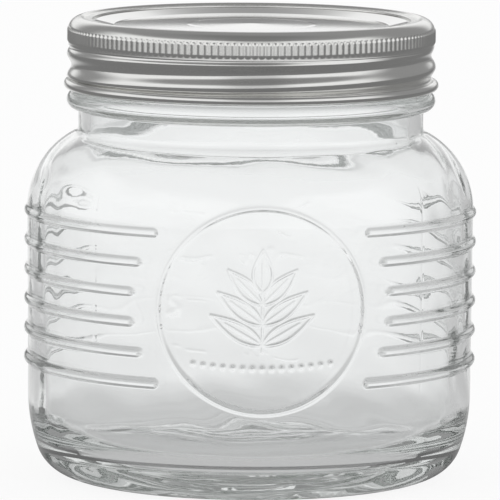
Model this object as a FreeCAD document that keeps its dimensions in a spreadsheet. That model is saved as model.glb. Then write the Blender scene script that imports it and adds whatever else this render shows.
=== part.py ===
import FreeCAD, Part
import math
import os
import Sketcher

# Storage jar in clear pressed glass with a two-piece lid: a screw band and the flat lid disc it holds
# down on the glass lip. Millimetres, +Z up, the origin on the table under the jar's axis. The front,
# with the raised ring, faces -Y, and the moulded ribs wrap round both sides to the plain back panel.
SIZES = {
    # glass body, from the foot up
    "foot_inner": 38.0,          # inner edge of the flat bearing ring
    "foot_outer": 41.9,          # outer edge of the bearing ring
    "foot_rise": 2.6,            # height of the hollow under the base
    "heel_turn": 10.0,           # small radius where the heel leaves the table
    "flank_turn": 40.0,          # large radius that blends the heel into the wall
    "wall_foot": 53.6,           # radius of the wall above the heel
    "wall_head": 53.9,           # radius of the wall under the shoulder
    "shoulder_level": 64.95,     # height where the shoulder begins
    "shoulder_turn": 20.2,       # radius of the shoulder in section
    "neck_radius": 41.65,
    "neck_blend": 1.5,           # hollow radius between shoulder and neck
    "bead_level": 91.05,         # height of the transfer bead under the band
    "bead_turn": 2.15,           # section radius of the bead
    "bead_reach": 44.5,          # outer radius of the bead
    "finish_radius": 41.2,       # outside of the mouth, under the band
    "lip_level": 109.45,         # top of the glass lip
    "lip_turn": 1.2,             # rounding of the lip
    # inside of the glass
    "bore_radius": 38.2,         # clear mouth
    "bore_blend": 5.0,           # rounding where the mouth opens into the body
    "wall_thick": 3.6,
    "floor_edge": 39.0,          # radius where the floor meets the inner heel
    "floor_level": 7.4,          # height of the floor at that edge
    "floor_crown": 1.2,          # rise of the floor at the centre
    "inner_heel": 11.0,          # inside radius between floor and wall
    # moulded ribs round both sides
    "rib_count": 6,
    "rib_pitch": 7.15,
    "rib_turn": 1.2,             # section radius of a rib
    "rib_proud": 0.9,            # how far a rib stands out of the wall
    "panel_level": 46.4,         # height of the middle of the front panel
    "panel_radius": 30.8,        # the ribs end on this circle round the front panel's middle
    "back_panel": 43.0,          # half angle of the plain back panel
    # raised ring on the front panel
    "ring_radius": 24.15,
    "ring_width": 1.35,
    "ring_proud": 0.5,
    "ring_root": 1.5,            # depth of the ring's foot in the glass
    # screw band
    "sheet": 0.5,                # thickness of the band and of the disc
    "opening_radius": 38.3,
    "brim_level": 109.95,        # underside of the brim, which presses on the disc
    "brim_bead": 0.5,            # radius of the rolled bead round the opening
    "brim_shelf": 40.3,          # outer edge of the low shelf beside the bead
    "corner_radius": 41.0,       # radius of the circle on which the outer corner turns
    "corner_level": 107.6,
    "corner_turn": 3.3,          # section radius of the rounded outer corner
    "grip_radius": 44.1,         # root of the knurled grip
    "grip_foot": 103.9,          # lower edge of the grip
    "knurl_count": 170,
    "knurl_turn": 0.38,          # section radius of one upright knurl
    "knurl_proud": 0.3,
    "knurl_foot": 105.0,         # lower end of the knurls
    "knurl_margin": 0.35,        # plain strip above the knurls
    "skirt_radius": 43.4,        # root of the threaded skirt
    "thread_pitch": 5.3,
    "thread_turns": 1.3,
    "thread_from": 150.0,        # degrees from +X; the thread starts at the back left
    "thread_start": 96.6,        # height of the middle of the thread where it starts
    "thread_half": 1.55,         # half the height of the thread's section at the skirt
    "thread_depth": 1.1,         # how far the thread is rolled out of the skirt
    "thread_root": 0.1,          # depth of the thread's foot in the sheet
    "curl_level": 94.8,
    "curl_turn": 1.15,           # section radius of the curled hem
    # lid disc
    "disc_radius": 42.4,
    "disc_step": 37.3,           # radius where the rim starts to slope down
    "disc_panel": 33.2,          # radius of the sunken panel
    "disc_drop": 0.85,           # depth of the panel under the rim
}

doc = FreeCAD.newDocument("storage_jar")
sheet = doc.addObject("Spreadsheet::Sheet", "sizes")
for row, (alias, value) in enumerate(SIZES.items(), start=1):
    sheet.set("A%d" % row, alias)
    sheet.set("B%d" % row, str(value))
    sheet.setAlias("B%d" % row, alias)
doc.recompute()


def cells(formula):
    """Write a formula's size names as references to the sheet."""
    for alias in sorted(SIZES, key=len, reverse=True):
        formula = formula.replace(alias, "<<%s>>" % alias)
    return formula.replace("<<", "sizes.").replace(">>", "")


def origin_part(body, role):
    return next(item for item in body.Origin.OriginFeatures if item.Role == role)


def new_body(name):
    body = doc.addObject("PartDesign::Body", name)
    body.Label = name
    return body


def new_sketch(body, name, role="XZ_Plane"):
    sketch = body.newObject("Sketcher::SketchObject", name)
    sketch.AttachmentSupport = [(origin_part(body, role), "")]
    sketch.MapMode = "FlatFace"
    return sketch


def bound(sketch, constraint, formula):
    """Add a constraint whose value follows a formula of the sheet's cells."""
    index = sketch.addConstraint(constraint)
    sketch.setExpression("Constraints[%d]" % index, cells(formula))


def arc_between(start, end, radius, left):
    """The short arc from start to end, with its centre on the left or the right of the way there."""
    middle = (start + end) * 0.5
    way = end - start
    reach = math.sqrt(max(radius ** 2 - way.Length ** 2 / 4.0, 0.0))
    side = FreeCAD.Vector(-way.y, way.x, 0).normalize() * (reach if left else -reach)
    centre = middle + side
    first, last = (start, end) if left else (end, start)
    angles = [math.atan2(point.y - centre.y, point.x - centre.x) for point in (first, last)]
    circle = Part.Circle(centre, FreeCAD.Vector(0, 0, 1), radius)
    return Part.ArcOfCircle(circle, angles[0], angles[1])


def draw_outline(sketch, corners, turns):
    """Draw a closed outline. corners holds a formula pair (radius, height) for each corner, and turns
    gives (radius formula, centre on the left) for each arc that leaves the corner of that number."""
    spots = []
    for across, up in corners:
        values = [float(sketch.evalExpression(cells(text))) for text in (across, up)]
        spots.append(FreeCAD.Vector(values[0], values[1], 0))
    ends = []
    for number, start in enumerate(spots):
        end = spots[(number + 1) % len(spots)]
        if number in turns:
            formula, left = turns[number]
            radius = float(sketch.evalExpression(cells(formula)))
            index = sketch.addGeometry(arc_between(start, end, radius, left), False)
            bound(sketch, Sketcher.Constraint("Radius", index, radius), formula)
            ends.append((index, 1, 2) if left else (index, 2, 1))
        else:
            index = sketch.addGeometry(Part.LineSegment(start, end), False)
            ends.append((index, 1, 2))
    for number, (index, first, last) in enumerate(ends):
        following = ends[(number + 1) % len(ends)]
        sketch.addConstraint(Sketcher.Constraint("Coincident", index, last, following[0], following[1]))
        across, up = corners[number]
        if across == "0":
            sketch.addConstraint(Sketcher.Constraint("PointOnObject", index, first, -2))
        else:
            bound(sketch, Sketcher.Constraint("DistanceX", -1, 1, index, first, spots[number].x), across)
        if up == "0":
            sketch.addConstraint(Sketcher.Constraint("PointOnObject", index, first, -1))
        else:
            bound(sketch, Sketcher.Constraint("DistanceY", -1, 1, index, first, spots[number].y), up)


def revolve(body, name, sketch):
    turned = body.newObject("PartDesign::Revolution", name)
    turned.Profile = sketch
    turned.ReferenceAxis = (sketch, ["V_Axis"])
    turned.Angle = 360.0
    return turned


def glass_section(body):
    """The whole wall of the jar in one section: foot, heel, wall, shoulder, neck, bead, lip and inside."""
    blend_span = "(flank_turn - heel_turn)"
    blend_lean = "(flank_turn - wall_foot + foot_outer)"
    heel_head = "(heel_turn + sqrt(%s^2 - %s^2))" % (blend_span, blend_lean)
    shoulder_axis = "(wall_head - shoulder_turn)"
    neck_span = "(shoulder_turn + neck_blend)"
    neck_lean = "(neck_radius + neck_blend - %s)" % shoulder_axis
    neck_rise = "sqrt(%s^2 - %s^2)" % (neck_span, neck_lean)
    bead_axis = "(bead_reach - bead_turn)"
    inner_turn = "(shoulder_turn - wall_thick)"
    bore_span = "(%s + bore_blend)" % inner_turn
    bore_lean = "(bore_radius + bore_blend - %s)" % shoulder_axis
    bore_rise = "sqrt(%s^2 - %s^2)" % (bore_span, bore_lean)
    corners = [
        ("0", "foot_rise"),
        ("foot_inner", "0"),
        ("foot_outer", "0"),
        ("foot_outer + heel_turn * %s / %s" % (blend_lean, blend_span),
         "heel_turn - heel_turn * (%s - heel_turn) / %s" % (heel_head, blend_span)),
        ("wall_foot", heel_head),
        ("wall_head", "shoulder_level"),
        ("%s + shoulder_turn * %s / %s" % (shoulder_axis, neck_lean, neck_span),
         "shoulder_level + shoulder_turn * %s / %s" % (neck_rise, neck_span)),
        ("neck_radius", "shoulder_level + %s" % neck_rise),
        ("neck_radius", "bead_level - sqrt(bead_turn^2 - (neck_radius - %s)^2)" % bead_axis),
        ("finish_radius", "bead_level + sqrt(bead_turn^2 - (finish_radius - %s)^2)" % bead_axis),
        ("finish_radius", "lip_level - lip_turn"),
        ("finish_radius - lip_turn", "lip_level"),
        ("bore_radius + lip_turn", "lip_level"),
        ("bore_radius", "lip_level - lip_turn"),
        ("bore_radius", "shoulder_level + %s" % bore_rise),
        ("%s + %s * %s / %s" % (shoulder_axis, inner_turn, bore_lean, bore_span),
         "shoulder_level + %s * %s / %s" % (inner_turn, bore_rise, bore_span)),
        ("wall_head - wall_thick", "shoulder_level"),
        ("floor_edge + inner_heel", "floor_level + inner_heel"),
        ("floor_edge", "floor_level"),
        ("0", "floor_level + floor_crown"),
    ]
    turns = {
        0: ("(foot_inner^2 + foot_rise^2) / (2 * foot_rise)", False),
        2: ("heel_turn", True),
        3: ("flank_turn", True),
        5: ("shoulder_turn", True),
        6: ("neck_blend", False),
        8: ("bead_turn", True),
        10: ("lip_turn", True),
        12: ("lip_turn", True),
        14: ("bore_blend", True),
        15: (inner_turn, False),
        17: ("inner_heel", False),
        18: ("(floor_edge^2 + floor_crown^2) / (2 * floor_crown)", True),
    }
    sketch = new_sketch(body, "glass_section")
    draw_outline(sketch, corners, turns)
    return sketch


def primitive(kind, name, **formulas):
    item = doc.addObject(kind, name)
    for field, formula in formulas.items():
        way = field.replace("_at_", ".Base.").replace("_Rotation_", ".Rotation.")
        item.setExpression(way, cells(formula))
    return item


def boolean(kind, name, base, tool):
    item = doc.addObject(kind, name)
    item.Base = base
    item.Tool = tool
    return item


def moulded_rib(number, side):
    """One half-round rib from the circle round the front panel to the back panel, with round ends."""
    level = "(panel_level + (rib_count - 1 - 2 * %d) / 2 * rib_pitch)" % number
    path = "((wall_foot + wall_head) / 2 + rib_proud - rib_turn)"
    front_end = "asin(sqrt(panel_radius^2 - (%s - panel_level)^2) / %s)" % (level, path)
    start = "-90 deg + %s" % front_end if side > 0 else "90 + back_panel"
    name = "rib_%d_%s" % (number, "right" if side > 0 else "left")
    run = primitive("Part::Torus", name, Radius1=path, Radius2="rib_turn", Placement_at_z=level,
                    Angle3="180 deg - back_panel * 1 deg - %s" % front_end, Placement_Rotation_Angle=start)
    pieces = [run]
    for end, turn in (("front", front_end), ("back", "(180 - back_panel)")):
        pieces.append(primitive("Part::Sphere", "%s_%s_end" % (name, end), Radius="rib_turn",
                                Placement_at_x="%d * %s * sin(%s)" % (side, path, turn),
                                Placement_at_y="-%s * cos(%s)" % (path, turn), Placement_at_z=level))
    return pieces


def front_ring():
    """The ring: a round tube pushed through the front wall, trimmed to a thin skin of that wall."""
    tubes = []
    for name, half in (("ring_outside", "+ ring_width / 2"), ("ring_inside", "- ring_width / 2")):
        tube = primitive("Part::Cylinder", name, Radius="ring_radius %s" % half,
                         Height="wall_head + 2 * ring_proud", Placement_at_z="panel_level")
        tube.Placement.Rotation = FreeCAD.Rotation(FreeCAD.Vector(1, 0, 0), 90)
        tubes.append(tube)
    skins = []
    for name, shift in (("skin_outside", "+ ring_proud"), ("skin_inside", "- ring_root")):
        skins.append(primitive("Part::Cone", name, Radius1="wall_foot %s" % shift,
                               Radius2="wall_head %s" % shift, Height="shoulder_level - 2 * heel_turn",
                               Placement_at_z="2 * heel_turn"))
    tube = boolean("Part::Cut", "ring_tube", tubes[0], tubes[1])
    skin = boolean("Part::Cut", "ring_skin", skins[0], skins[1])
    return boolean("Part::Common", "front_ring", tube, skin)


def glass_jar():
    """The turned jar, the ribs of both sides and the front ring, fused into one piece of glass."""
    turned = new_body("glass_turned")
    turned.Tip = revolve(turned, "glass_revolved", glass_section(turned))
    reliefs = [front_ring()]
    for side in (1, -1):
        for number in range(SIZES["rib_count"]):
            reliefs += moulded_rib(number, side)
    jar = doc.addObject("Part::MultiFuse", "glass_jar")
    jar.Shapes = [turned] + reliefs
    jar.Refine = False
    jar.Label = "glass_jar"
    return jar


def screw_band():
    """The band in one section: bead round the opening, brim, rounded corner, grip, skirt, curled hem."""
    brim_top = "(brim_level + sheet)"
    corner_inner = "(corner_turn - sheet)"
    curl_axis = "(skirt_radius - sheet + curl_turn)"
    corners = [
        ("opening_radius", "brim_level"),
        ("opening_radius + 2 * brim_bead", "brim_level"),
        ("corner_radius + sqrt(%s^2 - (brim_level - corner_level)^2)" % corner_inner, "brim_level"),
        ("grip_radius - sheet",
         "corner_level + sqrt(%s^2 - (grip_radius - sheet - corner_radius)^2)" % corner_inner),
        ("grip_radius - sheet", "grip_foot"),
        ("skirt_radius - sheet", "grip_foot - grip_radius + skirt_radius"),
        ("skirt_radius - sheet", "curl_level"),
        ("%s" % curl_axis, "curl_level - curl_turn"),
        ("%s + curl_turn" % curl_axis, "curl_level"),
        ("skirt_radius", "curl_level + sqrt(curl_turn^2 - (skirt_radius - %s)^2)" % curl_axis),
        ("skirt_radius", "grip_foot - grip_radius + skirt_radius"),
        ("grip_radius", "grip_foot"),
        ("grip_radius", "corner_level + sqrt(corner_turn^2 - (grip_radius - corner_radius)^2)"),
        ("corner_radius", "corner_level + corner_turn"),
        ("brim_shelf", brim_top),
        ("opening_radius + 2 * brim_bead", brim_top),
        ("opening_radius + brim_bead", "%s + brim_bead" % brim_top),
        ("opening_radius", brim_top),
    ]
    turns = {
        2: (corner_inner, False),
        6: ("curl_turn", True),
        7: ("curl_turn", True),
        8: ("curl_turn", True),
        12: ("corner_turn", True),
        15: ("brim_bead", True),
        16: ("brim_bead", True),
    }
    body = new_body("screw_band")
    sketch = new_sketch(body, "band_section")
    draw_outline(sketch, corners, turns)
    revolve(body, "band_turned", sketch)
    knurl_grip(body)
    roll_thread(body, "PartDesign::AdditiveHelix", "thread_crest", "skirt_radius", "thread_half")
    body.Tip = roll_thread(body, "PartDesign::SubtractiveHelix", "thread_hollow", "skirt_radius - sheet",
                           "thread_half - sheet / 2")
    body.setExpression("Placement.Rotation.Angle", cells("thread_from * 1 deg"))
    return body


def knurl_grip(body):
    """Upright half-round knurls all round the grip."""
    top = "corner_level + sqrt(corner_turn^2 - (grip_radius - corner_radius)^2) - knurl_margin"
    middle = ["(grip_radius + knurl_proud - knurl_turn) * %s(180 deg / knurl_count)" % wave
              for wave in ("cos", "sin")]
    sketch = new_sketch(body, "knurl_section", "XY_Plane")
    sketch.setExpression("AttachmentOffset.Base.z", cells("knurl_foot"))
    across, along, turn = [float(sketch.evalExpression(cells(text))) for text in middle + ["knurl_turn"]]
    circle = Part.Circle(FreeCAD.Vector(across, along, 0), FreeCAD.Vector(0, 0, 1), turn)
    index = sketch.addGeometry(circle, False)
    bound(sketch, Sketcher.Constraint("DistanceX", -1, 1, index, 3, across), middle[0])
    bound(sketch, Sketcher.Constraint("DistanceY", -1, 1, index, 3, along), middle[1])
    bound(sketch, Sketcher.Constraint("Radius", index, turn), "knurl_turn")
    knurl = body.newObject("PartDesign::Pad", "knurl")
    knurl.Profile = sketch
    knurl.setExpression("Length", cells("%s - knurl_foot" % top))
    grip = body.newObject("PartDesign::PolarPattern", "knurled_grip")
    grip.Originals = [knurl]
    grip.Axis = (origin_part(body, "Z_Axis"), [""])
    grip.Angle = 360.0
    grip.setExpression("Occurrences", cells("knurl_count"))
    body.Tip = grip


def roll_thread(body, kind, name, root, half):
    """One face of the rolled thread: a right-handed helix of a shallow round section."""
    reach = "(thread_depth + thread_root)"
    foot = "%s - thread_root" % root
    sketch = new_sketch(body, name + "_section")
    draw_outline(sketch, [(foot, "thread_start - (%s)" % half), (foot, "thread_start + (%s)" % half)],
                 {0: ("((%s)^2 + %s^2) / (2 * %s)" % (half, reach, reach), True)})
    helix = body.newObject(kind, name)
    helix.Profile = sketch
    helix.ReferenceAxis = (sketch, ["V_Axis"])
    helix.Mode = 1
    helix.setExpression("Pitch", cells("thread_pitch"))
    helix.setExpression("Turns", cells("thread_turns"))
    return helix


def lid_disc():
    """The flat disc: its rim lies between lip and brim, and its middle is a shallow sunken panel."""
    corners = [
        ("0", "brim_level - disc_drop - sheet"),
        ("disc_panel", "brim_level - disc_drop - sheet"),
        ("disc_step", "brim_level - sheet"),
        ("disc_radius", "brim_level - sheet"),
        ("disc_radius", "brim_level"),
        ("disc_step", "brim_level"),
        ("disc_panel", "brim_level - disc_drop"),
        ("0", "brim_level - disc_drop"),
    ]
    body = new_body("lid_disc")
    sketch = new_sketch(body, "disc_section")
    draw_outline(sketch, corners, {})
    body.Tip = revolve(body, "disc_turned", sketch)
    return body


pieces = [glass_jar(), screw_band(), lid_disc()]
doc.recompute()

for item in doc.Objects:
    if "Invalid" in item.State or "Error" in item.State:
        raise RuntimeError("%s did not build: %s" % (item.Name, item.State))
os.makedirs("parts", exist_ok=True)
for piece in pieces:
    shape = piece.Shape
    if shape.isNull() or not shape.isValid() or len(shape.Solids) != 1:
        raise RuntimeError("%s is not one valid solid" % piece.Label)
    shape.exportStep("parts/%s.step" % piece.Label)
    print("%s: %.2f cm3, %s" % (piece.Label, shape.Volume / 1000.0, shape.BoundBox))
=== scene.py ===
import math
import bmesh
import bpy
import numpy as np
from mathutils import Matrix, Vector


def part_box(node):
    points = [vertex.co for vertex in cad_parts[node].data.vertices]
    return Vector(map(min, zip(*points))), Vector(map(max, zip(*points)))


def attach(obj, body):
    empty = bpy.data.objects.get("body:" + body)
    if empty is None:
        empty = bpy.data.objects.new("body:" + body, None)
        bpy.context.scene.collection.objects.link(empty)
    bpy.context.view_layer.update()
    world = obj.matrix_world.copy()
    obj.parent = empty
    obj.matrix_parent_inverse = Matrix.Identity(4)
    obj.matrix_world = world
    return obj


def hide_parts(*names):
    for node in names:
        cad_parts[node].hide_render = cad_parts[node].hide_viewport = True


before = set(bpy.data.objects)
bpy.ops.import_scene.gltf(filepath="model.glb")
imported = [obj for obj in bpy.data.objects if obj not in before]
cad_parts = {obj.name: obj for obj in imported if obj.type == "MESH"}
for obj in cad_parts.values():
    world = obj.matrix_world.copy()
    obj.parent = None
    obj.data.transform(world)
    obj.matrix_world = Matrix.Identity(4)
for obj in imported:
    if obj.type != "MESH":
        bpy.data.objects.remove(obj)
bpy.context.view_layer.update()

# Storage jar: clear pressed glass under a satin two-piece lid. Sections are written in millimetres as
# (radius, height), as on a turner's drawing, and scaled to metres when the meshes are made.
MM = 0.001
FRONT = -90.0                     # the front panel faces -Y; angles on the jar are counted from it

jar_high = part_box("glass_jar")[1]
band_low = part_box("screw_band")[0]
disc_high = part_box("lid_disc")[1]

# glass, outside
FOOT_INNER = 38.0                 # the jar stands on the flat ring between these two radii
FOOT_OUTER = 41.9
FOOT_RISE = 2.6                   # height of the pushed-up underside
HEEL_TURN = 10.0                  # radius of the heel's corner, and of the curve above it
FLANK_TURN = 40.0
WALL_FOOT = 53.6
WALL_HEAD = 53.9
SHOULDER_LEVEL = 64.95
SHOULDER_TURN = 20.2
NECK_RADIUS = 41.65
NECK_BLEND = 1.5
BEAD_LEVEL = 91.05                # the round bead of the neck, just under the band
BEAD_TURN = 2.15
BEAD_AXIS = 42.35
FINISH_RADIUS = 41.2              # the neck inside the band
LIP_LEVEL = jar_high[2] / MM
LIP_TURN = 1.2
NECK_TOP = 93.0                   # the inside is even above this height
# glass, inside
BORE_RADIUS = 38.2
BORE_BLEND = 5.0
WALL_THICK = 3.6
FLOOR_EDGE = 39.0
FLOOR_LEVEL = 7.4
FLOOR_CROWN = 1.2
INNER_HEEL = 11.0
# ribs
RIB_COUNT = 6
RIB_PITCH = 7.15
RIB_TURN = 1.2                    # radius of a rib's section
RIB_PROUD = 0.9
RIB_FALL = 1.6                    # how fast a rib's flank runs on down below the wall
RIB_BLEND = 0.05                  # softness of the line where a rib meets the wall
RIB_TRIM = 0.003                  # what that softness would add to the plain wall
RIB_TAPER = 19.0                  # degrees over which a rib sinks into the back panel
# panels
PANEL_LEVEL = 46.4                # middle of the front panel
PANEL_RADIUS = 30.8               # the ribs start on this circle round it
BACK_PANEL = 42.3                 # degrees from the middle of the back to the ribs' ends
PANEL_SUNK = 0.2                  # the middle of both panels lies a little deeper
FRONT_SUNK = (14.0, 22.5)         # from this radius to this one the front panel comes up again
BACK_SUNK = (140.0, 158.0)        # between these angles the wall goes down to the back panel
RING_RADIUS = 24.15
RING_HALF = 0.72
RING_PROUD = 0.45
# leaf sprig and row of beads, with heights counted from the middle of the front panel
LINE_HALF = 0.42
LINE_PROUD = 0.42
VEIN_HALF = 0.34
VEIN_PROUD = 0.26
VEIN_REACH = 0.72                 # part of a leaf's length that its vein takes up
LEAF_BELLY = 0.8                  # under 1 a leaf is widest nearer its root
STEM_FOOT = -9.5
STEM_HEAD = 4.5
LEAF_PAIRS = ((-8.0, 60, 14.0), (-3.2, 54, 13.0), (1.6, 45, 11.5))      # height, lean, length
PAIR_WIDTH = 3.8
TOP_LEAF_LENGTH = 10.0
TOP_LEAF_WIDTH = 4.6
ROW_COUNT = 15
ROW_PITCH = 2.3
ROW_LEVEL = -13.6
ROW_CURVE = 0.004                 # lifts the ends of the row
ROW_HALF = 0.75
# measuring scale, with places counted across from the middle of the back panel
SCALE_COUNT = 4
SCALE_START = 1.4                 # height of its zero above the edge of the inside floor
SCALE_VOLUME = 100e3              # cubic millimetres from one long mark to the next
SCALE_HALF = 0.42
SCALE_PROUD = 0.2
LONG_MARK = (-17.0, -11.0)
SHORT_MARK = (-15.0, -11.0)
COUNT_MARK = (9.0, 15.0)
HUNDREDS_PLACE = -9.0
COUNT_PLACE = 17.0
NUMERAL_TALL = 3.6
NUMERAL_PITCH = 3.2
# mould seams, in degrees to either side of the front
FRONT_SEAM = 46
BACK_SEAM = 134
SEAM_HALF = 0.35
SEAM_PROUD = 0.06
SEAM_START = (12.0, 30.0)         # heights over which a seam comes up, and runs out again
SEAM_END = (SHOULDER_LEVEL, SHOULDER_LEVEL + 14)
# heights between which the outside carries relief
RELIEF_FOOT = 10.0
RELIEF_HEAD = 88.0
EMBLEM_SPAN = 31                  # the ring lies within this many degrees of the front
RIDGE_SPREAD = 0.72               # how far a ridge spreads, as a part of its half width
# unevenness of the pressed glass
RIPPLE = 0.10                     # all over the inside
STREAK = 0.05                     # level streaks in the shoulder
FLANK_RUN = 0.05                  # upright runs on both flanks
WALL_START = (FLOOR_LEVEL + 2, FLOOR_LEVEL + INNER_HEEL)     # heights over which all three come up,
WALL_END = (NECK_TOP - 14, NECK_TOP)                         # and run out again
SHOULDER_START = (SHOULDER_LEVEL - 6, SHOULDER_LEVEL + 6)    # heights over which the streaks come up
FLANK_START = (46.0, 58.0)        # degrees from the front over which the runs come up,
FLANK_END = (84.0, 100.0)         # and run out again
FLOOR_SWIRL = 0.22
SWIRL_END = (24.0, 42.0)          # radii over which the swirls run out
SWIRL_PITCH = 9
SWIRL_ASIDE = 4                   # the swirls' middle lies this far behind the jar's axis
UNDER_SWELL = 0.08


# ---------------------------------------------------------------- outlines

def line(start, end, step):
    """Points from start up to, but without, end."""
    count = max(1, round(math.dist(start, end) / step))
    return [(start[0] + (end[0] - start[0]) * i / count, start[1] + (end[1] - start[1]) * i / count)
            for i in range(count)]


def arc(centre, radius, first, last, step):
    """Points on an arc between two angles in degrees, without its last point."""
    count = max(2, round(abs(math.radians(last - first)) * radius / step))
    turns = [math.radians(first + (last - first) * i / count) for i in range(count)]
    return [(centre[0] + radius * math.cos(t), centre[1] + radius * math.sin(t)) for t in turns]


def lean(height, span):
    """The angle in degrees of a point this far up and this far out."""
    return math.degrees(math.atan2(height, span))


def smooth_step(value, low, high):
    """0 up to low, 1 from high on, and a smooth rise between."""
    part = np.clip((value - low) / (high - low), 0, 1)
    return part * part * (3 - 2 * part)


def glass_outline():
    """The jar's section from the middle of the foot, up the outside, over the lip and down inside."""
    span = FLANK_TURN - HEEL_TURN
    side = FLANK_TURN - WALL_FOOT + FOOT_OUTER
    heel_head = HEEL_TURN + math.sqrt(span ** 2 - side ** 2)
    heel_split = -lean(heel_head - HEEL_TURN, side)
    shoulder_axis = WALL_HEAD - SHOULDER_TURN
    neck_span = SHOULDER_TURN + NECK_BLEND
    neck_side = NECK_RADIUS + NECK_BLEND - shoulder_axis
    neck_rise = math.sqrt(neck_span ** 2 - neck_side ** 2)
    neck_lean = lean(neck_rise, neck_side)
    bead_foot = math.sqrt(BEAD_TURN ** 2 - (NECK_RADIUS - BEAD_AXIS) ** 2)
    bead_head = math.sqrt(BEAD_TURN ** 2 - (FINISH_RADIUS - BEAD_AXIS) ** 2)
    inner_turn = SHOULDER_TURN - WALL_THICK
    bore_span = inner_turn + BORE_BLEND
    bore_side = BORE_RADIUS + BORE_BLEND - shoulder_axis
    bore_rise = math.sqrt(bore_span ** 2 - bore_side ** 2)
    bore_lean = lean(bore_rise, bore_side)
    dome = (FOOT_INNER ** 2 + FOOT_RISE ** 2) / (2 * FOOT_RISE)
    dome_edge = lean(dome - FOOT_RISE, FOOT_INNER)
    crown = (FLOOR_EDGE ** 2 + FLOOR_CROWN ** 2) / (2 * FLOOR_CROWN)
    crown_edge = lean(crown - FLOOR_CROWN, FLOOR_EDGE)
    neck_centre = (NECK_RADIUS + NECK_BLEND, SHOULDER_LEVEL + neck_rise)
    outside = arc((0, FOOT_RISE - dome), dome, 90, dome_edge, 3.0)
    outside += line((FOOT_INNER, 0), (FOOT_OUTER, 0), 1.3)
    outside += arc((FOOT_OUTER, HEEL_TURN), HEEL_TURN, -90, heel_split, 0.6)
    outside += arc((WALL_FOOT - FLANK_TURN, heel_head), FLANK_TURN, heel_split, 0, 0.6)
    outside += line((WALL_FOOT, heel_head), (WALL_HEAD, SHOULDER_LEVEL), 0.26)
    outside += arc((shoulder_axis, SHOULDER_LEVEL), SHOULDER_TURN, 0, neck_lean, 0.3)
    outside += arc(neck_centre, NECK_BLEND, 180 + neck_lean, 180, 0.25)
    outside += line((NECK_RADIUS, neck_centre[1]), (NECK_RADIUS, BEAD_LEVEL - bead_foot), 0.5)
    outside += arc((BEAD_AXIS, BEAD_LEVEL), BEAD_TURN, lean(-bead_foot, NECK_RADIUS - BEAD_AXIS),
                   lean(bead_head, FINISH_RADIUS - BEAD_AXIS), 0.25)
    outside += line((FINISH_RADIUS, BEAD_LEVEL + bead_head), (FINISH_RADIUS, LIP_LEVEL - LIP_TURN), 1.5)
    outside += arc((FINISH_RADIUS - LIP_TURN, LIP_LEVEL - LIP_TURN), LIP_TURN, 0, 90, 0.35)
    outside += line((FINISH_RADIUS - LIP_TURN, LIP_LEVEL), (BORE_RADIUS + LIP_TURN, LIP_LEVEL), 0.5)
    inside = arc((BORE_RADIUS + LIP_TURN, LIP_LEVEL - LIP_TURN), LIP_TURN, 90, 180, 0.35)
    bore_centre = (BORE_RADIUS + BORE_BLEND, SHOULDER_LEVEL + bore_rise)
    inside += line((BORE_RADIUS, LIP_LEVEL - LIP_TURN), (BORE_RADIUS, bore_centre[1]), 1.2)
    inside += arc(bore_centre, BORE_BLEND, 180, 180 + bore_lean, 0.5)
    inside += arc((shoulder_axis, SHOULDER_LEVEL), inner_turn, bore_lean, 0, 0.4)
    inside += line((WALL_HEAD - WALL_THICK, SHOULDER_LEVEL),
                   (FLOOR_EDGE + INNER_HEEL, FLOOR_LEVEL + INNER_HEEL), 1.0)
    inside += arc((FLOOR_EDGE, FLOOR_LEVEL + INNER_HEEL), INNER_HEEL, 0, -90, 0.6)
    inside += arc((0, FLOOR_LEVEL + FLOOR_CROWN - crown), crown, crown_edge, 90, 2.0)
    inside.append((0, FLOOR_LEVEL + FLOOR_CROWN))
    return outside, inside


# ---------------------------------------------------------------- relief moulded into the glass

def ridge(distance, half, proud):
    """A soft rounded ridge: proud on its spine, and next to nothing beyond twice its half width."""
    return proud * np.exp(-(distance / (RIDGE_SPREAD * half)) ** 2)


def strokes_distance(across, up, strokes):
    """Distance from each point to the nearest of a list of straight strokes."""
    nearest = np.full(across.shape, 1e6)
    for (x0, y0), (x1, y1) in strokes:
        run = (x1 - x0, y1 - y0)
        length = max(run[0] ** 2 + run[1] ** 2, 1e-9)
        part = np.clip(((across - x0) * run[0] + (up - y0) * run[1]) / length, 0, 1)
        gap = np.hypot(across - x0 - part * run[0], up - y0 - part * run[1])
        nearest = np.minimum(nearest, gap)
    return nearest


def rib_relief(turn, level, radius):
    """Half-round ribs round both sides; each starts on the circle round the front panel."""
    relief = np.zeros(turn.shape)
    spine = (WALL_FOOT + WALL_HEAD) / 2 + RIB_PROUD - RIB_TURN
    for number in range(RIB_COUNT):
        height = PANEL_LEVEL + ((RIB_COUNT - 1) / 2 - number) * RIB_PITCH
        chord = math.sqrt(PANEL_RADIUS ** 2 - (height - PANEL_LEVEL) ** 2)
        start = math.degrees(math.asin(chord / spine))
        along = np.radians(np.maximum(start - np.abs(turn), 0)) * radius
        distance = np.hypot(along, level - height)
        crown = np.sqrt(np.maximum(RIB_TURN ** 2 - distance ** 2, 0)) - (RIB_TURN - RIB_PROUD)
        foot = RIB_PROUD - RIB_TURN - (distance - RIB_TURN) * RIB_FALL
        crown = np.where(distance < RIB_TURN, crown, foot)
        crown += spine + RIB_TURN - RIB_PROUD - radius
        crown -= RIB_PROUD * smooth_step(np.abs(turn), 180 - BACK_PANEL - RIB_TAPER, 180 - BACK_PANEL)
        relief = np.maximum(relief, 0.5 * (crown + np.sqrt(crown ** 2 + RIB_BLEND ** 2)) - RIB_TRIM)
    return relief


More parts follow.
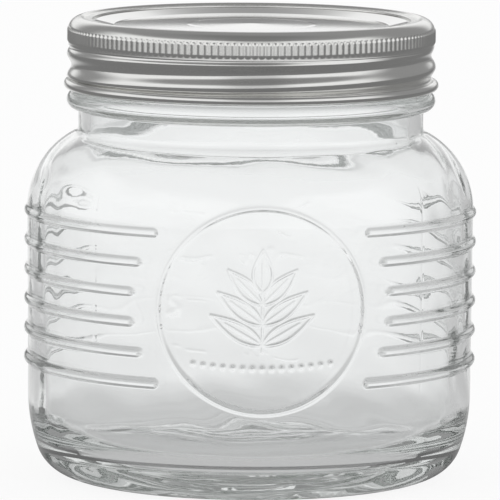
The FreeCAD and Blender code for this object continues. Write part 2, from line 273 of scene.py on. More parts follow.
def leaf(across, up, root, aim, length, width):
    """A leaf as a raised outline with a vein; aim is its lean from upright in degrees."""
    lean_x = math.sin(math.radians(aim))
    lean_y = math.cos(math.radians(aim))
    along = (across - root[0]) * lean_x + (up - root[1]) * lean_y
    side = (across - root[0]) * lean_y - (up - root[1]) * lean_x
    part = np.clip(along / length, 0, 1)
    edge = 0.5 * width * np.sin(math.pi * part ** LEAF_BELLY)
    outline = np.hypot(np.abs(side) - edge, along - part * length)
    vein = np.hypot(side, along - np.clip(along / length, 0, VEIN_REACH) * length)
    return np.maximum(ridge(outline, LINE_HALF, LINE_PROUD), ridge(vein, VEIN_HALF, VEIN_PROUD))


def emblem_relief(turn, level, radius):
    """The front panel: a raised ring, a plain leaf sprig inside it and a row of small beads below."""
    across = radius * np.sin(np.radians(turn))
    up = level - PANEL_LEVEL
    relief = ridge(np.abs(np.hypot(across, up) - RING_RADIUS), RING_HALF, RING_PROUD)
    stem = strokes_distance(across, up, [((0, STEM_FOOT), (0, STEM_HEAD))])
    relief = np.maximum(relief, ridge(stem, LINE_HALF, LINE_PROUD))
    for height, aim, length in LEAF_PAIRS:
        for side in (-1, 1):
            relief = np.maximum(relief, leaf(across, up, (0, height), side * aim, length, PAIR_WIDTH))
    top = leaf(across, up, (0, STEM_HEAD), 0, TOP_LEAF_LENGTH, TOP_LEAF_WIDTH)
    relief = np.maximum(relief, top)
    for number in range(ROW_COUNT):
        place = (number - (ROW_COUNT - 1) / 2) * ROW_PITCH
        drop = ROW_LEVEL + ROW_CURVE * place ** 2
        relief = np.maximum(relief, ridge(np.hypot(across - place, up - drop), ROW_HALF, LINE_PROUD))
    return np.where(np.abs(turn) < 90, relief, 0)


def bow(centre, wide, tall, first, last):
    """A curved stroke as short straight ones, on an ellipse between two angles in degrees."""
    turns = [math.radians(first + (last - first) * i / 10) for i in range(11)]
    points = [(centre[0] + wide * math.cos(t), centre[1] + tall * math.sin(t)) for t in turns]
    return list(zip(points[:-1], points[1:]))


def numeral(sign, left, middle):
    """Strokes of a plain numeral, drawn 0.6 wide and 1 tall, at its place and size on the scale."""
    drawn = {
        "0": bow((0.3, 0.5), 0.3, 0.5, 0, 360),
        "1": [((0.1, 0.8), (0.35, 1.0)), ((0.35, 1.0), (0.35, 0.0))],
        "2": bow((0.3, 0.72), 0.28, 0.28, 170, -35) + [((0.53, 0.56), (0.0, 0.0)), ((0.0, 0.0), (0.6, 0.0))],
        "3": bow((0.27, 0.75), 0.27, 0.25, 160, -90) + bow((0.27, 0.25), 0.31, 0.25, 90, -160),
        "4": [((0.42, 0.0), (0.42, 1.0)), ((0.42, 1.0), (0.0, 0.3)), ((0.0, 0.3), (0.6, 0.3))],
    }
    foot = middle - NUMERAL_TALL / 2
    return [tuple((left + x * NUMERAL_TALL, foot + y * NUMERAL_TALL) for x, y in stroke)
            for stroke in drawn[sign]]


def scale_relief(turn, level, radius):
    """The back panel: a plain measuring scale, read from behind, in hundreds of millilitres."""
    behind = np.where(turn > 0, turn - 180, turn + 180)
    across = radius * np.radians(behind)
    near = np.abs(behind) < BACK_PANEL
    strokes = []
    inner = (WALL_FOOT + WALL_HEAD) / 2 - WALL_THICK
    step = SCALE_VOLUME / (math.pi * inner ** 2)
    for number in range(1, SCALE_COUNT + 1):
        height = FLOOR_LEVEL + SCALE_START + number * step
        for first, last in (LONG_MARK, COUNT_MARK):
            strokes.append(((first, height), (last, height)))
        strokes.append(((SHORT_MARK[0], height - step / 2), (SHORT_MARK[1], height - step / 2)))
        for place, sign in enumerate("%d00" % number):
            strokes += numeral(sign, HUNDREDS_PLACE + place * NUMERAL_PITCH, height)
        strokes += numeral(str(number), COUNT_PLACE, height)
    relief = np.zeros(turn.shape)
    distance = strokes_distance(across[near], level[near], strokes)
    relief[near] = ridge(distance, SCALE_HALF, SCALE_PROUD)
    return relief


def panel_depth(turn, level, radius):
    """How deep the middle of the front panel and the back panel lies under the rest of the wall."""
    off = np.hypot(radius * np.sin(np.radians(turn)), level - PANEL_LEVEL)
    front = (np.abs(turn) < 90) * (1 - smooth_step(off, *FRONT_SUNK))
    return PANEL_SUNK * (front + smooth_step(np.abs(turn), *BACK_SUNK))


def seam_relief(turn, level):
    """The fine seams that the four parts of the mould leave."""
    relief = np.zeros(turn.shape)
    for place in (-BACK_SEAM, -FRONT_SEAM, FRONT_SEAM, BACK_SEAM):
        distance = np.abs(turn - place) * math.pi / 180 * WALL_HEAD
        relief = np.maximum(relief, ridge(distance, SEAM_HALF, SEAM_PROUD))
    return relief * smooth_step(level, *SEAM_START) * (1 - smooth_step(level, *SEAM_END))


def wall_relief(turn, level, radius):
    """All that is moulded into the wall, less the depth of the panels."""
    raised = rib_relief(turn, level, radius)
    raised = np.maximum(raised, emblem_relief(turn, level, radius))
    raised = np.maximum(raised, scale_relief(turn, level, radius))
    raised = np.maximum(raised, seam_relief(turn, level))
    return raised - panel_depth(turn, level, radius)


# ---------------------------------------------------------------- unevenness of the pressed glass

def swell(first, second, seed, waves, short, long):
    """Slow unevenness, mostly from -1 to 1, as crossing waves with lengths between short and long."""
    draw = np.random.default_rng(seed)
    total = np.zeros(first.shape)
    for _ in range(waves):
        rate = 2 * math.pi / draw.uniform(short, long)
        way = draw.uniform(0, 2 * math.pi)
        shift = draw.uniform(0, 2 * math.pi)
        total += np.cos((first * math.cos(way) + second * math.sin(way)) * rate + shift)
    return total / math.sqrt(waves)


def in_plan(turn, radius):
    """A point seen from above: its place to the right of the front, and towards the front."""
    angle = np.radians(turn)
    return radius * np.sin(angle), radius * np.cos(angle)


def inside_swell(turn, level, radius):
    """The inside wall: ripples all over, level streaks in the shoulder, upright runs on both flanks."""
    across, ahead = in_plan(turn, radius)
    girth = np.radians(turn) * radius
    wall = smooth_step(level, *WALL_START)
    head = 1 - smooth_step(level, *WALL_END)
    high = smooth_step(level, *SHOULDER_START)
    flank = smooth_step(np.abs(turn), *FLANK_START) * (1 - smooth_step(np.abs(turn), *FLANK_END))
    ripple = swell(across + level, ahead - level, seed=7, waves=12, short=14, long=40)
    streaks = swell(0.15 * girth, level, seed=21, waves=10, short=3.0, long=8.0)
    runs = swell(girth, 0.12 * level, seed=31, waves=10, short=5.0, long=12.0)
    return (RIPPLE * ripple + STREAK * high * streaks + FLANK_RUN * flank * runs) * wall * head


def floor_swirl(turn, radius):
    """The inside floor: wavering rings, crossed by shorter waves, that run out before the heel."""
    across, ahead = in_plan(turn, radius)
    waver = 1.5 * swell(across, ahead, seed=3, waves=5, short=30, long=60)
    rings = np.cos(2 * math.pi * np.hypot(across, ahead + SWIRL_ASIDE) / SWIRL_PITCH + waver)
    rings += 0.5 * swell(0.35 * across, ahead, seed=11, waves=12, short=10, long=22)
    return FLOOR_SWIRL * rings * (1 - smooth_step(np.hypot(across, ahead), *SWIRL_END))


def underside_swell(turn, radius):
    """The pushed-up underside, uneven in its middle and even where it meets the foot."""
    across, ahead = in_plan(turn, radius)
    edge = 1 - smooth_step(radius, FOOT_INNER - 6, FOOT_INNER)
    return UNDER_SWELL * (1.5 + swell(across, ahead, seed=5, waves=12, short=18, long=45)) * edge


# ---------------------------------------------------------------- meshes

def grid_mesh(name, points, closed):
    """A mesh from rows of points that each run once round the axis; a row on the axis is one point."""
    rows, ring_count = points.shape[:2]
    index = np.arange(rows * ring_count).reshape(rows, ring_count)
    if not closed:
        index[0, :] = index[0, 0]
        index[-1, :] = index[-1, 0]
    upper = np.roll(index, -1, axis=0) if closed else index[1:]
    lower = index if closed else index[:-1]
    quads = np.stack([lower, np.roll(lower, -1, axis=1), np.roll(upper, -1, axis=1), upper], axis=-1)
    faces = []
    for quad in quads.reshape(-1, 4).tolist():
        kept = list(dict.fromkeys(quad))
        if len(kept) > 2:
            faces.append(kept)
    mesh = bpy.data.meshes.new(name)
    mesh.from_pydata((points.reshape(-1, 3) * MM).tolist(), [], faces)
    mesh.update()
    drop_loose(mesh)
    mesh.polygons.foreach_set("use_smooth", [True] * len(mesh.polygons))
    piece = bpy.data.objects.new(name, mesh)
    bpy.context.scene.collection.objects.link(piece)
    return piece


def drop_loose(mesh):
    """Delete the points that no face uses: the spare ones of a row on the axis."""
    work = bmesh.new()
    work.from_mesh(mesh)
    loose = [vert for vert in work.verts if not vert.link_faces]
    bmesh.ops.delete(work, geom=loose, context="VERTS")
    work.to_mesh(mesh)
    work.free()


def turned(section, turns):
    """Radius, height and angle of each point of a section at each angle: a row for each point."""
    radius = np.repeat(section[:, :1], len(turns), axis=1)
    level = np.repeat(section[:, 1:], len(turns), axis=1)
    turn = np.repeat(turns[None, :], len(section), axis=0)
    return radius, level, turn


def even_turns(count):
    """Angles all round, evenly spaced, from the middle of the back."""
    return -180 + np.arange(count) * 360 / count


def around(radius, turn, level):
    """Points in space, from radius, angle from the front and height."""
    angle = np.radians(turn + FRONT)
    return np.stack([radius * np.cos(angle), radius * np.sin(angle), level], axis=-1)


def columns_for_jar():
    """Angles round the jar, closest on the emblem, and closer at the front seams and on the back panel."""
    turns = [-180.0]
    while turns[-1] < 180.0:
        place = abs(turns[-1])
        if place < EMBLEM_SPAN:
            step = 0.2
        elif place > 180 - BACK_PANEL or abs(place - FRONT_SEAM) < 1.2:
            step = 0.35
        else:
            step = 0.7
        turns.append(turns[-1] + step)
    return np.array(turns[:-1])


def build_glass():
    outside, inside = glass_outline()
    section = np.array(outside + inside)
    radius, level, turn = turned(section, columns_for_jar())
    outer = np.arange(len(section)) < len(outside)
    walls = outer & (section[:, 1] > RELIEF_FOOT) & (section[:, 1] < RELIEF_HEAD)
    walls &= section[:, 0] > NECK_RADIUS - 0.1
    radius[walls] += wall_relief(turn[walls], level[walls], radius[walls])
    inner = ~outer & (section[:, 1] < NECK_TOP)
    swirls = floor_swirl(turn[inner], radius[inner])
    radius[inner] += inside_swell(turn[inner], level[inner], radius[inner])
    level[inner] += swirls
    under = outer & (section[:, 1] < FOOT_RISE) & (section[:, 0] < FOOT_INNER)
    level[under] += underside_swell(turn[under], radius[under])
    return grid_mesh("jar_glass", around(radius, turn, level), closed=False)


# ---------------------------------------------------------------- lid

BRIM_LEVEL = disc_high[2] / MM    # underside of the brim, on the disc
SHEET = 0.5
OPENING_RADIUS = 38.3
BRIM_EDGE = 0.2                   # rounding of the brim's edge at the opening
BRIM_SHELF = 40.3                 # the brim is flat inside this radius
CORNER_RADIUS = 41.0
CORNER_LEVEL = 107.6
CORNER_TURN = 3.3
GRIP_RADIUS = 44.1
GRIP_FOOT = 104.2
KNURL_FOOT = 104.8
KNURL_HEAD = 108.55
SKIRT_RADIUS = 43.4
CURL_TURN = 1.15
CURL_LEVEL = band_low[2] / MM + CURL_TURN
KNURLS = 170
KNURL_COLUMNS = 8
KNURL_PROUD = 0.30
KNURL_HALF = 0.68
THREAD_PITCH = 5.5
THREAD_FRONT = 98.0               # height of a crest at the front
THREAD_DEPTH = 1.1
THREAD_START = (CURL_LEVEL + 0.6, CURL_LEVEL + 2.0)     # heights over which the thread comes up
THREAD_END = (GRIP_FOOT - 1.0, GRIP_FOOT + 0.1)         # and runs out again
DISC_COLUMNS = 256
DISC_STEP = 37.3
DISC_PANEL = 33.2
DISC_DROP = 1.0                   # depth of the panel at its edge
DISC_RISE = 0.3                   # the panel's dome, from its edge to where its middle would be
DISC_BUTTON = 15.6
DOME_STEPS = 24
BUTTON_RISE = 0.04                # step up from the dome to the button
BUTTON_SLOPE = 0.8
BUTTON_CROWN = 0.15
CREASE = 0.1                      # a row of points this close to each crease keeps it crisp


def band_outline():
    """The band's sheet in section, up the outside from the hem and down the inside."""
    brim_top = BRIM_LEVEL + SHEET
    inner_turn = CORNER_TURN - SHEET
    curl_axis = SKIRT_RADIUS - SHEET + CURL_TURN
    curl_join = lean(math.sqrt(CURL_TURN ** 2 - (SKIRT_RADIUS - curl_axis) ** 2), SKIRT_RADIUS - curl_axis)
    curl_head = CURL_LEVEL + CURL_TURN * math.sin(math.radians(curl_join))
    grip_head = math.degrees(math.acos((GRIP_RADIUS - CORNER_RADIUS) / CORNER_TURN))
    inner_head = math.degrees(math.acos((GRIP_RADIUS - SHEET - CORNER_RADIUS) / inner_turn))
    inner_flat = math.degrees(math.asin((BRIM_LEVEL - CORNER_LEVEL) / inner_turn))
    grip_top = CORNER_LEVEL + CORNER_TURN * math.sin(math.radians(grip_head))
    inner_top = CORNER_LEVEL + inner_turn * math.sin(math.radians(inner_head))
    step = GRIP_RADIUS - SKIRT_RADIUS
    skirt_top = GRIP_FOOT - step
    skirt_in = SKIRT_RADIUS - SHEET
    grip_in = GRIP_RADIUS - SHEET
    outside = arc((curl_axis, CURL_LEVEL), CURL_TURN, -180, curl_join, 0.2)
    outside += line((SKIRT_RADIUS, curl_head), (SKIRT_RADIUS, skirt_top), 0.2)
    outside += line((SKIRT_RADIUS, skirt_top), (GRIP_RADIUS, GRIP_FOOT), 0.2)
    outside += line((GRIP_RADIUS, GRIP_FOOT), (GRIP_RADIUS, grip_top), 0.14)
    outside += arc((CORNER_RADIUS, CORNER_LEVEL), CORNER_TURN, grip_head, 90, 0.25)
    outside += line((CORNER_RADIUS, CORNER_LEVEL + CORNER_TURN), (BRIM_SHELF, brim_top), 0.2)
    outside += line((BRIM_SHELF, brim_top), (OPENING_RADIUS + BRIM_EDGE, brim_top), 0.3)
    outside += arc((OPENING_RADIUS + BRIM_EDGE, brim_top - BRIM_EDGE), BRIM_EDGE, 90, 180, 0.06)
    inside = line((OPENING_RADIUS, brim_top - BRIM_EDGE), (OPENING_RADIUS, BRIM_LEVEL), 0.12)
    inside += line((OPENING_RADIUS, BRIM_LEVEL),
                   (CORNER_RADIUS + inner_turn * math.cos(math.radians(inner_flat)), BRIM_LEVEL), 1.0)
    inside += arc((CORNER_RADIUS, CORNER_LEVEL), inner_turn, inner_flat, inner_head, 0.3)
    inside += line((grip_in, inner_top), (grip_in, GRIP_FOOT), 0.6)
    inside += line((grip_in, GRIP_FOOT), (skirt_in, skirt_top), 0.4)
    inside += line((skirt_in, skirt_top), (skirt_in, CURL_LEVEL), 0.3)
    return outside, inside


def thread_relief(turn, level):
    """The rolled thread: a wave round the skirt that climbs to the right, as on any jar."""
    crest = THREAD_FRONT + THREAD_PITCH * turn / 360
    wave = 0.5 + 0.5 * np.cos(2 * math.pi * (level - crest) / THREAD_PITCH)
    fade = smooth_step(level, *THREAD_START)
    fade *= 1 - smooth_step(level, *THREAD_END)
    return THREAD_DEPTH * wave * fade


def knurl_relief(turn, level):
    """Upright pads with round ends, pressed out all round the grip."""
    pitch = 360 / KNURLS
    aside = ((turn / pitch + 0.5) % 1 - 0.5) * math.radians(pitch) * GRIP_RADIUS
    middle = (KNURL_FOOT + KNURL_HEAD) / 2
    reach = (KNURL_HEAD - KNURL_FOOT) / 2 - KNURL_HALF
    beyond = np.maximum(np.abs(level - middle) - reach, 0)
    distance = np.minimum(np.hypot(aside, beyond) / KNURL_HALF, 1)
    return KNURL_PROUD * (1 - distance ** 2)


def build_band():
    outside, inside = band_outline()
    section = np.array(outside + inside)
    radius, level, turn = turned(section, even_turns(KNURLS * KNURL_COLUMNS))
    outer = np.arange(len(section)) < len(outside)
    skirt = (section[:, 1] < GRIP_FOOT + 0.1) & (section[:, 1] > CURL_LEVEL + 0.4)
    skirt &= section[:, 0] < GRIP_RADIUS + 0.05
    radius[skirt] += thread_relief(turn[skirt], level[skirt])
    grip = outer & (section[:, 1] > GRIP_FOOT - 0.1) & (section[:, 0] > CORNER_RADIUS + 2)
    radius[grip] += knurl_relief(turn[grip], level[grip])
    return grid_mesh("band_sheet", around(radius, turn, level), closed=True)


def disc_outline():
    """The disc from the middle of its underside, over the rim, to the middle of its button."""
    low = BRIM_LEVEL - SHEET
    edge = disc_high[0] / MM
    heights = [(edge, 0.0), (DISC_STEP, 0.0), (DISC_PANEL, -DISC_DROP)]
    for number in range(1, DOME_STEPS + 1):
        radius = DISC_PANEL + (DISC_BUTTON - DISC_PANEL) * number / DOME_STEPS
        heights.append((radius, -DISC_DROP + DISC_RISE * (1 - (radius / DISC_PANEL) ** 2)))
    edge_rise = heights[-1][1] + BUTTON_RISE
    heights += [(DISC_BUTTON - BUTTON_SLOPE, edge_rise), (0, edge_rise + BUTTON_CROWN)]
    over = line((edge, low), (edge, BRIM_LEVEL), 0.25)
    for (start, first), (end, last) in zip(heights[:-1], heights[1:]):
        width = start - end
        steps = max(1, round(width / 0.5))
        parts = [0.0] + [number / steps for number in range(1, steps)]
        if 0.5 < width < 5:
            parts = sorted(parts + [CREASE / width, 1 - CREASE / width])
        for part in parts:
            over.append((start + (end - start) * part, BRIM_LEVEL + first + (last - first) * part))
    over.append((0, BRIM_LEVEL + heights[-1][1]))
    under = [(radius, level - SHEET) for radius, level in reversed(over[2:])]
    return under + over


def build_disc():
    radius, level, turn = turned(np.array(disc_outline()), even_turns(DISC_COLUMNS))
    return grid_mesh("disc_sheet", around(radius, turn, level), closed=False)


# ---------------------------------------------------------------- shared effects

def new_group(name, inputs, outputs):
    group = bpy.data.node_groups.new(name, "ShaderNodeTree")
    for label, kind, value in inputs:
        socket = group.interface.new_socket(label, in_out="INPUT", socket_type=kind)
        socket.default_value = value
    for label, kind in outputs:
        group.interface.new_socket(label, in_out="OUTPUT", socket_type=kind)
    return group, group.nodes.new("NodeGroupInput"), group.nodes.new("NodeGroupOutput")


def fine_grain_group():
    """Height and tone of a fine, even surface grain with broad soft handling marks."""
    group, entry, leave = new_group(
        "fine_grain",
        [("Grain Scale", "NodeSocketFloat", 900.0), ("Mark Scale", "NodeSocketFloat", 40.0),
         ("Low", "NodeSocketFloat", 0.25), ("High", "NodeSocketFloat", 0.4)],
        [("Height", "NodeSocketFloat"), ("Finish", "NodeSocketFloat")])
    nodes = group.nodes
    links = group.links
    place = nodes.new("ShaderNodeTexCoord")
    grain = nodes.new("ShaderNodeTexNoise")
    grain.inputs["Detail"].default_value = 3.0
    marks = nodes.new("ShaderNodeTexNoise")
    marks.inputs["Detail"].default_value = 5.0
    marks.inputs["Roughness"].default_value = 0.6
    spread = nodes.new("ShaderNodeMapRange")
    spread.inputs["From Min"].default_value = 0.3
    spread.inputs["From Max"].default_value = 0.7
    links.new(place.outputs["Object"], grain.inputs["Vector"])
    links.new(place.outputs["Object"], marks.inputs["Vector"])
    links.new(entry.outputs["Grain Scale"], grain.inputs["Scale"])
    links.new(entry.outputs["Mark Scale"], marks.inputs["Scale"])
    links.new(marks.outputs["Fac"], spread.inputs["Value"])
    links.new(entry.outputs["Low"], spread.inputs["To Min"])
    links.new(entry.outputs["High"], spread.inputs["To Max"])
    links.new(grain.outputs["Fac"], leave.inputs["Height"])
    links.new(spread.outputs["Result"], leave.inputs["Finish"])
    return group


GRAIN = fine_grain_group()


def new_material(name):
    material = bpy.data.materials.new(name)
    material.use_nodes = True
    shader = material.node_tree.nodes["Principled BSDF"]
    return material, material.node_tree.nodes, material.node_tree.links, shader


def add_grain(nodes, links, shader, bump_depth, **values):
    """Give a material the fine grain: its height as a bump, its finish as the roughness."""
    grain = nodes.new("ShaderNodeGroup")
    grain.node_tree = GRAIN
    for label, value in values.items():
        grain.inputs[label.replace("_", " ")].default_value = value
    bump = nodes.new("ShaderNodeBump")
    bump.inputs["Strength"].default_value = 1.0
    bump.inputs["Distance"].default_value = bump_depth
    links.new(grain.outputs["Height"], bump.inputs["Height"])
    links.new(bump.outputs["Normal"], shader.inputs["Normal"])
    links.new(grain.outputs["Finish"], shader.inputs["Roughness"])


def clear_glass():
    material, nodes, links, shader = new_material("clear_pressed_glass")
    shader.inputs["Base Color"].default_value = (0.985, 0.992, 0.992, 1)
    shader.inputs["Transmission Weight"].default_value = 1.0
    shader.inputs["IOR"].default_value = 1.5
    add_grain(nodes, links, shader, 0.02 * MM, Grain_Scale=160.0, Mark_Scale=60.0, Low=0.0, High=0.02)
    depth = nodes.new("ShaderNodeVolumeAbsorption")
    depth.inputs["Color"].default_value = (0.845, 0.86, 0.852, 1)
    depth.inputs["Density"].default_value = 13.0
    links.new(depth.outputs[0], nodes["Material Output"].inputs["Volume"])
    return material


def band_metal():
    material, nodes, links, shader = new_material("satin_band_metal")
    shader.inputs["Base Color"].default_value = (0.80, 0.80, 0.785, 1)
    shader.inputs["Metallic"].default_value = 1.0
    add_grain(nodes, links, shader, 0.002 * MM, Grain_Scale=4000.0, Mark_Scale=120.0, Low=0.15, High=0.21)
    return material


def disc_metal():
    material, nodes, links, shader = new_material("satin_disc_metal")
    shader.inputs["Base Color"].default_value = (0.80, 0.80, 0.79, 1)
    shader.inputs["Metallic"].default_value = 1.0
    add_grain(nodes, links, shader, 0.002 * MM, Grain_Scale=3000.0, Mark_Scale=80.0, Low=0.03, High=0.06)
    return material


# ---------------------------------------------------------------- pieces on the frame

for build, node, slot_name, make in ((build_glass, "glass_jar", "clear_glass", clear_glass),
                                     (build_band, "screw_band", "band_metal", band_metal),
                                     (build_disc, "lid_disc", "disc_metal", disc_metal)):
    piece = build()
    piece.data.materials.append(make())
    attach(piece, "root")
    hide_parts(node)


# ---------------------------------------------------------------- stage, light and camera

# The camera sees a white studio. Metal and glass each see greys of their own, so that clear edges and
# satin metal stand out from it. Each ramp lists (place, grey), with places from 0 to 1.
WHITE = 1.0
FLOOR_REACH = 1.5                 # the floor's ramps run from this far in front of the jar to as far behind
# Painted shade on the floor, as metal and glass see it: darker in front of and close to the jar, paler
# farther off.
PAINTED_FLOOR_SHADE_IN_METAL = ((0.0, 0.95), (0.16, 0.95), (0.24, 0.2), (0.5, 0.12), (0.52, 0.5), (0.56, 0.9), (1.0, 0.95))
PAINTED_FLOOR_SHADE_IN_GLASS = ((0.0, 0.8), (0.49, 0.58), (0.52, 0.6), (0.535, 0.76),
                  (0.555, 0.88), (0.60, 0.95), (0.7, 1.0), (1.0, 1.0))
PAINTED_POOL_START = 0.25                 # metres in front of the jar where the floor's painted pool of light, a wedge, begins
PAINTED_POOL_EDGE = (0.14, 0.42)          # slope of the painted pool's sides, from its full tone to the tone beyond it
# Painted shade: the floor's one grey outside the painted pool of light
BEYOND_IN_GLASS = 0.6
BEYOND_IN_METAL = 0.15
FLOOR_GLOW = 0.9                  # share of the floor's glow, painted shade and painted pool of light included; the rest takes the jar's shadow
# The world's ramps run from the horizon to straight up.
NEAR_TONES = ((0.0, 0.95), (0.58, 1.0), (0.70, 0.3), (1.0, 0.24))
MIDDLE_TONES = ((0.0, 0.62), (0.5, 0.66), (0.66, 0.24), (1.0, 0.2))
FAR_IN_METAL = ((0.0, 0.3), (0.05, 0.26), (0.089, 0.32), (0.095, 1.0), (0.40, 1.0), (0.60, 0.3), (1.0, 0.24))
FAR_IN_GLASS = ((0.0, 0.98), (0.12, 0.92), (0.22, 0.4), (0.50, 0.2), (1.0, 0.2))
MIDDLE_EDGE = (0.12, 0.45)        # a direction's X from which middle tones go over into near tones
NEAR_EDGE = (0.45, -0.1)          # a direction's Y from which side tones go over into near tones
NEAR_SKEW = 0.25                  # takes the near tones further back on the left than on the right
FAR_EDGE = (0.78, 0.94)           # and from which side tones go over into far tones
SIDE_IN_METAL = 0.3
LEFT_IN_GLASS = 0.8
RIGHT_IN_GLASS = 0.6
SIDE_REACH = 0.8                  # a direction's X at which the left and right tones are reached
BOUNCES = 48                      # light turns many times in the thick heel before it leaves the glass
ALL_BOUNCES = 64


def reckon(nodes, links, operation, first, second=None):
    """One step of arithmetic on a value."""
    node = nodes.new("ShaderNodeMath")
    node.operation = operation
    links.new(first, node.inputs[0])
    if isinstance(second, float):
        node.inputs[1].default_value = second
    elif second is not None:
        links.new(second, node.inputs[1])
    return node.outputs[0]


def stretch(nodes, links, value, bounds, soft=False):
    """A value's place between two bounds, from 0 to 1."""
    node = nodes.new("ShaderNodeMapRange")
    node.interpolation_type = "SMOOTHSTEP" if soft else "LINEAR"
    node.inputs["From Min"].default_value = bounds[0]
    node.inputs["From Max"].default_value = bounds[1]
    links.new(value, node.inputs["Value"])
    return node.outputs["Result"]


def mix_colours(nodes, links, factor, first, second):
    """The colour between two others; a plain number stands for a grey."""
    node = nodes.new("ShaderNodeMix")
    node.data_type = "RGBA"
    links.new(factor, node.inputs[0])
    for place, colour in ((6, first), (7, second)):
        if isinstance(colour, float):
            node.inputs[place].default_value = (colour, colour, colour, 1)
        else:
            links.new(colour, node.inputs[place])
    return node.outputs[2]


def tone_ramp(nodes, links, value, stops):
    """The grey that a ramp gives to a value from 0 to 1."""
    node = nodes.new("ShaderNodeValToRGB")
    ramp = node.color_ramp
    ramp.elements[0].position = stops[0][0]
    ramp.elements[1].position = stops[-1][0]
    for place, tone in stops[1:-1]:
        ramp.elements.new(place)
    for element, (place, tone) in zip(ramp.elements, stops):
        element.color = (tone, tone, tone, 1)
    links.new(value, node.inputs["Fac"])
    return node.outputs["Color"]


def seen_rays(nodes, links, path):
    """1 for rays that look at the stage, directly, in metal or through glass."""
    seen = path.outputs["Is Camera Ray"]
    for label in ("Is Glossy Ray", "Is Transmission Ray"):
        seen = reckon(nodes, links, "MAXIMUM", seen, path.outputs[label])
    return seen


def place_parts(nodes, links, socket):
    """The X, Y and Z of a texture coordinate."""
    place = nodes.new("ShaderNodeTexCoord")
    parts = nodes.new("ShaderNodeSeparateXYZ")
    links.new(place.outputs[socket], parts.inputs[0])
    return parts.outputs["X"], parts.outputs["Y"], parts.outputs["Z"]


def floor_tone(nodes, links, path):
    """The floor's glow: white to the camera; to metal and glass, painted shade near the jar inside a painted
    pool of light, a wedge that opens away from the camera, and one grey of painted shade outside it.
    """
    x, y, _ = place_parts(nodes, links, "Object")
    depth = stretch(nodes, links, y, (-FLOOR_REACH, FLOOR_REACH))
    behind = reckon(nodes, links, "ADD", y, PAINTED_POOL_START)
    spread = reckon(nodes, links, "DIVIDE", reckon(nodes, links, "ABSOLUTE", x), behind)
    pool = stretch(nodes, links, spread, PAINTED_POOL_EDGE, soft=True)
    # Painted shade near the jar, inside a painted pool of light with one grey outside it, for glass and then
    # for metal.
    painted_light_in_glass = tone_ramp(nodes, links, depth, PAINTED_FLOOR_SHADE_IN_GLASS)
    painted_light_in_glass = mix_colours(nodes, links, pool, painted_light_in_glass, BEYOND_IN_GLASS)
    painted_light_in_metal = tone_ramp(nodes, links, depth, PAINTED_FLOOR_SHADE_IN_METAL)
    painted_light_in_metal = mix_colours(nodes, links, pool, painted_light_in_metal, BEYOND_IN_METAL)
    tone = mix_colours(nodes, links, path.outputs["Is Transmission Ray"], painted_light_in_metal, painted_light_in_glass)
    return mix_colours(nodes, links, path.outputs["Is Camera Ray"], tone, WHITE)


def build_floor():
    mesh = bpy.data.meshes.new("floor")
    reach = 6.0
    mesh.from_pydata([(-reach, -reach, 0), (reach, -reach, 0), (reach, reach, 0), (-reach, reach, 0)],
                     [], [(0, 1, 2, 3)])
    floor = bpy.data.objects.new("floor", mesh)
    bpy.context.scene.collection.objects.link(floor)
    material, nodes, links, shader = new_material("pale_floor")
    shader.inputs["Base Color"].default_value = (0.9, 0.9, 0.9, 1)
    shader.inputs["Roughness"].default_value = 0.9
    path = nodes.new("ShaderNodeLightPath")
    glow = nodes.new("ShaderNodeEmission")
    glow.inputs["Strength"].default_value = 1.0
    links.new(floor_tone(nodes, links, path), glow.inputs["Color"])
    blend = nodes.new("ShaderNodeMixShader")
    weight = reckon(nodes, links, "MULTIPLY", seen_rays(nodes, links, path), FLOOR_GLOW)
    links.new(weight, blend.inputs[0])
    links.new(shader.outputs[0], blend.inputs[1])
    links.new(glow.outputs[0], blend.inputs[2])
    links.new(blend.outputs[0], nodes["Material Output"].inputs["Surface"])
    mesh.materials.append(material)


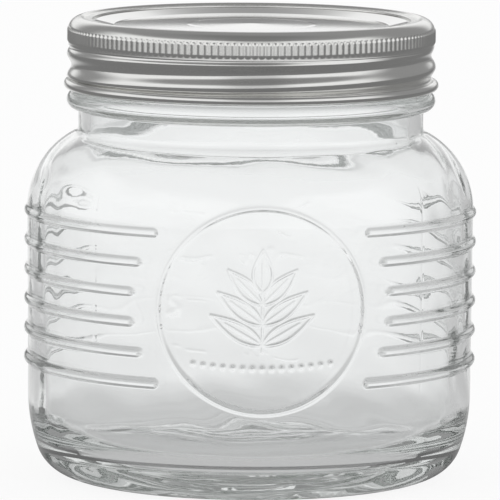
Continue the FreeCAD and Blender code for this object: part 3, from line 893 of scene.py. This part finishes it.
def world_tone(nodes, links, path):
    """Greys by direction: the camera's side, which has a duller middle, the two sides and the far side."""
    x, y, z = place_parts(nodes, links, "Generated")
    gap = stretch(nodes, links, reckon(nodes, links, "ABSOLUTE", x), MIDDLE_EDGE, soft=True)
    near = mix_colours(nodes, links, gap, tone_ramp(nodes, links, z, MIDDLE_TONES),
                       tone_ramp(nodes, links, z, NEAR_TONES))
    far = mix_colours(nodes, links, path.outputs["Is Transmission Ray"],
                      tone_ramp(nodes, links, z, FAR_IN_METAL), tone_ramp(nodes, links, z, FAR_IN_GLASS))
    skew = reckon(nodes, links, "ADD", y, reckon(nodes, links, "MULTIPLY", x, NEAR_SKEW))
    near_side = stretch(nodes, links, skew, NEAR_EDGE, soft=True)
    far_side = stretch(nodes, links, y, FAR_EDGE, soft=True)
    across = stretch(nodes, links, x, (-SIDE_REACH, SIDE_REACH))
    side = mix_colours(nodes, links, across, LEFT_IN_GLASS, RIGHT_IN_GLASS)
    side = mix_colours(nodes, links, path.outputs["Is Transmission Ray"], SIDE_IN_METAL, side)
    tone = mix_colours(nodes, links, near_side, side, near)
    tone = mix_colours(nodes, links, far_side, tone, far)
    return mix_colours(nodes, links, path.outputs["Is Camera Ray"], tone, WHITE)


def build_world():
    """An even pale light from all round; what the camera, metal and glass see of it has its own tones."""
    world = bpy.data.worlds.new("studio")
    bpy.context.scene.world = world
    world.use_nodes = True
    nodes = world.node_tree.nodes
    links = world.node_tree.links
    nodes.clear()
    out = nodes.new("ShaderNodeOutputWorld")
    lit = nodes.new("ShaderNodeBackground")
    lit.inputs["Color"].default_value = (0.9, 0.9, 0.9, 1)
    shown = nodes.new("ShaderNodeBackground")
    path = nodes.new("ShaderNodeLightPath")
    links.new(world_tone(nodes, links, path), shown.inputs["Color"])
    blend = nodes.new("ShaderNodeMixShader")
    links.new(seen_rays(nodes, links, path), blend.inputs[0])
    links.new(lit.outputs[0], blend.inputs[1])
    links.new(shown.outputs[0], blend.inputs[2])
    links.new(blend.outputs[0], out.inputs["Surface"])


def build_camera():
    """A long lens a metre and a half away, a little above the lid and just left of the front."""
    distance = 1.5
    height = 0.240
    side = math.radians(-3.25)
    aim = Vector((0.0, 0.0, 0.0543))
    roll = Matrix.Rotation(math.radians(0.4), 4, "Z")
    camera = bpy.data.cameras.new("camera")
    camera.sensor_width = 36.0
    camera.lens = 449.6
    camera.clip_end = 50
    holder = bpy.data.objects.new("camera", camera)
    holder.location = (math.sin(side) * distance, -math.cos(side) * distance, height)
    turn = (aim - holder.location).to_track_quat("-Z", "Y").to_matrix().to_4x4()
    holder.rotation_euler = (turn @ roll).to_euler()
    bpy.context.scene.collection.objects.link(holder)
    bpy.context.scene.camera = holder


build_floor()
build_world()
build_camera()
bpy.context.scene.view_settings.view_transform = "Standard"
bpy.context.scene.cycles.glossy_bounces = BOUNCES
bpy.context.scene.cycles.transmission_bounces = BOUNCES
bpy.context.scene.cycles.max_bounces = ALL_BOUNCES
